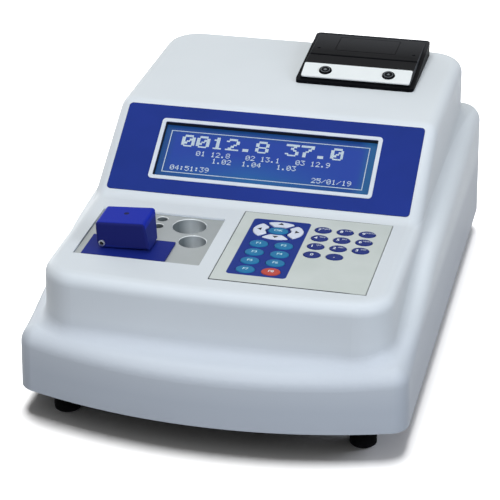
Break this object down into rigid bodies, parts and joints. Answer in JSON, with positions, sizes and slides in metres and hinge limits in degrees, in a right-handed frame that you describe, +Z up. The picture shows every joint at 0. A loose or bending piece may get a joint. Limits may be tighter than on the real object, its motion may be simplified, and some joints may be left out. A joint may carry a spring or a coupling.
{
  "type": "coagulation analyzer",
  "caption": "Bench coagulation analyzer with a sloping blue display, membrane keypad, heated wells, a hinged light cover and a panel printer.",
  "frame": {"origin": "on the bench under the middle of the case", "axes": "+X to the right seen from the front, +Y from the front to the rear, +Z up"},
  "size_m": [0.231, 0.348, 0.1412],
  "materials": {
    "case_plastic": "satin moulded",
    "tray_metal": "zinc plated sheet",
    "foot_rubber": "matte",
    "screw_steel": "bright",
    "label_film": "printed film",
    "rim_plastic": "satin",
    "black_metal": "matte",
    "lcd_blue": "lit blue liquid crystal",
    "circuit_board": "solder mask",
    "keypad_film": "fine matte film",
    "key_navy": "matte",
    "key_teal": "matte",
    "key_orange": "matte",
    "key_white": "matte",
    "block_aluminium": "fine brushed",
    "cover_blue": "matte",
    "pin_steel": "bright",
    "black_plastic": "fine grain",
    "fascia_plastic": "satin",
    "paper_white": "smooth"
  },
  "bodies": {
    "housing": {"housing_shell": "case_plastic", "base_tray": "tray_metal", "rubber_feet": "foot_rubber", "foot_screws": "screw_steel", "case_screws": "screw_steel", "display_label": "label_film", "window_frame": "rim_plastic", "lcd_bezel": "black_metal", "lcd_glass": "lcd_blue", "lcd_board": "circuit_board", "lcd_screws": "screw_steel", "keypad_overlay": "keypad_film", "keypad_circuit": "keypad_film", "heater_block": "block_aluminium", "block_screws": "screw_steel", "optics_block": "black_plastic", "cover_base": "cover_blue", "cover_hinge_pin": "pin_steel", "printer_body": "black_plastic", "printer_fascia": "fascia_plastic", "lid_hinge_pin": "pin_steel", "print_head": "black_metal", "main_board": "circuit_board", "power_supply": "tray_metal", "power_inlet": "black_plastic", "switch_frame": "black_plastic", "serial_port": "pin_steel", "fan_frame": "black_plastic"},
    "sensor_cover": {"sensor_cover": "cover_blue"},
    "printer_lid": {"printer_lid": "black_plastic"},
    "platen_roller": {"platen_roller": "foot_rubber"},
    "paper_roll": {"paper_roll": "paper_white"},
    "printer_button_left": {"printer_button_left": "black_plastic"},
    "printer_button_right": {"printer_button_right": "black_plastic"},
    "power_rocker": {"power_rocker": "black_plastic"},
    "fan_rotor": {"fan_rotor": "black_plastic"},
    "number_key_7": {"number_key_7": "key_navy"},
    "number_key_8": {"number_key_8": "key_navy"},
    "number_key_9": {"number_key_9": "key_navy"},
    "number_key_4": {"number_key_4": "key_navy"},
    "number_key_5": {"number_key_5": "key_navy"},
    "number_key_6": {"number_key_6": "key_navy"},
    "number_key_1": {"number_key_1": "key_navy"},
    "number_key_2": {"number_key_2": "key_navy"},
    "number_key_3": {"number_key_3": "key_navy"},
    "number_key_0": {"number_key_0": "key_navy"},
    "number_key_point": {"number_key_point": "key_navy"},
    "function_key_left_1": {"function_key_left_1": "key_teal"},
    "function_key_right_1": {"function_key_right_1": "key_teal"},
    "function_key_left_2": {"function_key_left_2": "key_teal"},
    "function_key_right_2": {"function_key_right_2": "key_teal"},
    "function_key_left_3": {"function_key_left_3": "key_teal"},
    "function_key_right_3": {"function_key_right_3": "key_teal"},
    "function_key_left_4": {"function_key_left_4": "key_teal"},
    "function_key_right_4": {"function_key_right_4": "key_orange"},
    "centre_key": {"centre_key": "key_teal"},
    "arrow_key_right": {"arrow_key_right": "key_white"},
    "arrow_key_up": {"arrow_key_up": "key_white"},
    "arrow_key_left": {"arrow_key_left": "key_white"},
    "arrow_key_down": {"arrow_key_down": "key_white"}
  },
  "joints": [
    {"name": "press_number_key_7", "type": "slide", "parent": "housing", "child": "number_key_7", "axis": [0, 0, -1], "range_m": [0, 0.0004], "stiffness_N_per_m": 400, "springref_m": -0.0001},
    {"name": "press_number_key_8", "type": "slide", "parent": "housing", "child": "number_key_8", "axis": [0, 0, -1], "range_m": [0, 0.0004], "stiffness_N_per_m": 400, "springref_m": -0.0001},
    {"name": "press_number_key_9", "type": "slide", "parent": "housing", "child": "number_key_9", "axis": [0, 0, -1], "range_m": [0, 0.0004], "stiffness_N_per_m": 400, "springref_m": -0.0001},
    {"name": "press_number_key_4", "type": "slide", "parent": "housing", "child": "number_key_4", "axis": [0, 0, -1], "range_m": [0, 0.0004], "stiffness_N_per_m": 400, "springref_m": -0.0001},
    {"name": "press_number_key_5", "type": "slide", "parent": "housing", "child": "number_key_5", "axis": [0, 0, -1], "range_m": [0, 0.0004], "stiffness_N_per_m": 400, "springref_m": -0.0001},
    {"name": "press_number_key_6", "type": "slide", "parent": "housing", "child": "number_key_6", "axis": [0, 0, -1], "range_m": [0, 0.0004], "stiffness_N_per_m": 400, "springref_m": -0.0001},
    {"name": "press_number_key_1", "type": "slide", "parent": "housing", "child": "number_key_1", "axis": [0, 0, -1], "range_m": [0, 0.0004], "stiffness_N_per_m": 400, "springref_m": -0.0001},
    {"name": "press_number_key_2", "type": "slide", "parent": "housing", "child": "number_key_2", "axis": [0, 0, -1], "range_m": [0, 0.0004], "stiffness_N_per_m": 400, "springref_m": -0.0001},
    {"name": "press_number_key_3", "type": "slide", "parent": "housing", "child": "number_key_3", "axis": [0, 0, -1], "range_m": [0, 0.0004], "stiffness_N_per_m": 400, "springref_m": -0.0001},
    {"name": "press_number_key_0", "type": "slide", "parent": "housing", "child": "number_key_0", "axis": [0, 0, -1], "range_m": [0, 0.0004], "stiffness_N_per_m": 400, "springref_m": -0.0001},
    {"name": "press_number_key_point", "type": "slide", "parent": "housing", "child": "number_key_point", "axis": [0, 0, -1], "range_m": [0, 0.0004], "stiffness_N_per_m": 400, "springref_m": -0.0001},
    {"name": "press_function_key_left_1", "type": "slide", "parent": "housing", "child": "function_key_left_1", "axis": [0, 0, -1], "range_m": [0, 0.0004], "stiffness_N_per_m": 400, "springref_m": -0.0001},
    {"name": "press_function_key_right_1", "type": "slide", "parent": "housing", "child": "function_key_right_1", "axis": [0, 0, -1], "range_m": [0, 0.0004], "stiffness_N_per_m": 400, "springref_m": -0.0001},
    {"name": "press_function_key_left_2", "type": "slide", "parent": "housing", "child": "function_key_left_2", "axis": [0, 0, -1], "range_m": [0, 0.0004], "stiffness_N_per_m": 400, "springref_m": -0.0001},
    {"name": "press_function_key_right_2", "type": "slide", "parent": "housing", "child": "function_key_right_2", "axis": [0, 0, -1], "range_m": [0, 0.0004], "stiffness_N_per_m": 400, "springref_m": -0.0001},
    {"name": "press_function_key_left_3", "type": "slide", "parent": "housing", "child": "function_key_left_3", "axis": [0, 0, -1], "range_m": [0, 0.0004], "stiffness_N_per_m": 400, "springref_m": -0.0001},
    {"name": "press_function_key_right_3", "type": "slide", "parent": "housing", "child": "function_key_right_3", "axis": [0, 0, -1], "range_m": [0, 0.0004], "stiffness_N_per_m": 400, "springref_m": -0.0001},
    {"name": "press_function_key_left_4", "type": "slide", "parent": "housing", "child": "function_key_left_4", "axis": [0, 0, -1], "range_m": [0, 0.0004], "stiffness_N_per_m": 400, "springref_m": -0.0001},
    {"name": "press_function_key_right_4", "type": "slide", "parent": "housing", "child": "function_key_right_4", "axis": [0, 0, -1], "range_m": [0, 0.0004], "stiffness_N_per_m": 400, "springref_m": -0.0001},
    {"name": "press_centre_key", "type": "slide", "parent": "housing", "child": "centre_key", "axis": [0, 0, -1], "range_m": [0, 0.0004], "stiffness_N_per_m": 400, "springref_m": -0.0001},
    {"name": "press_arrow_key_right", "type": "slide", "parent": "housing", "child": "arrow_key_right", "axis": [0, 0, -1], "range_m": [0, 0.0004], "stiffness_N_per_m": 400, "springref_m": -0.0001},
    {"name": "press_arrow_key_up", "type": "slide", "parent": "housing", "child": "arrow_key_up", "axis": [0, 0, -1], "range_m": [0, 0.0004], "stiffness_N_per_m": 400, "springref_m": -0.0001},
    {"name": "press_arrow_key_left", "type": "slide", "parent": "housing", "child": "arrow_key_left", "axis": [0, 0, -1], "range_m": [0, 0.0004], "stiffness_N_per_m": 400, "springref_m": -0.0001},
    {"name": "press_arrow_key_down", "type": "slide", "parent": "housing", "child": "arrow_key_down", "axis": [0, 0, -1], "range_m": [0, 0.0004], "stiffness_N_per_m": 400, "springref_m": -0.0001},
    {"name": "open_sensor_cover", "type": "hinge", "parent": "housing", "child": "sensor_cover", "pos_m": [-0.0739, -0.0993, 0.0958], "axis": [0, -1, 0], "range_deg": [0, 80]},
    {"name": "open_printer_lid", "type": "hinge", "parent": "housing", "child": "printer_lid", "pos_m": [0.04, 0.1435, 0.138], "axis": [-1, 0, 0], "range_deg": [0, 95]},
    {"name": "spin_platen", "type": "hinge", "parent": "printer_lid", "child": "platen_roller", "pos_m": [0.04, 0.1146, 0.134], "axis": [1, 0, 0], "continuous": true},
    {"name": "spin_paper_roll", "type": "hinge", "parent": "housing", "child": "paper_roll", "pos_m": [0.04, 0.128, 0.1175], "axis": [1, 0, 0], "continuous": true},
    {"name": "press_printer_button_left", "type": "slide", "parent": "housing", "child": "printer_button_left", "axis": [0, 0.2765, -0.961], "range_m": [0, 0.001], "stiffness_N_per_m": 300, "springref_m": -0.0004},
    {"name": "press_printer_button_right", "type": "slide", "parent": "housing", "child": "printer_button_right", "axis": [0, 0.2765, -0.961], "range_m": [0, 0.001], "stiffness_N_per_m": 300, "springref_m": -0.0004},
    {"name": "rock_power_rocker", "type": "hinge", "parent": "housing", "child": "power_rocker", "pos_m": [0.022, 0.164, 0.049], "axis": [1, 0, 0], "range_deg": [0, 16]},
    {"name": "spin_fan_rotor", "type": "hinge", "parent": "housing", "child": "fan_rotor", "pos_m": [-0.05, 0.1595, 0.049], "axis": [0, 1, 0], "continuous": true}
  ],
  "couplings": [
    {"joint": "spin_paper_roll", "follows": "spin_platen", "ratio": 0.25}
  ]
}
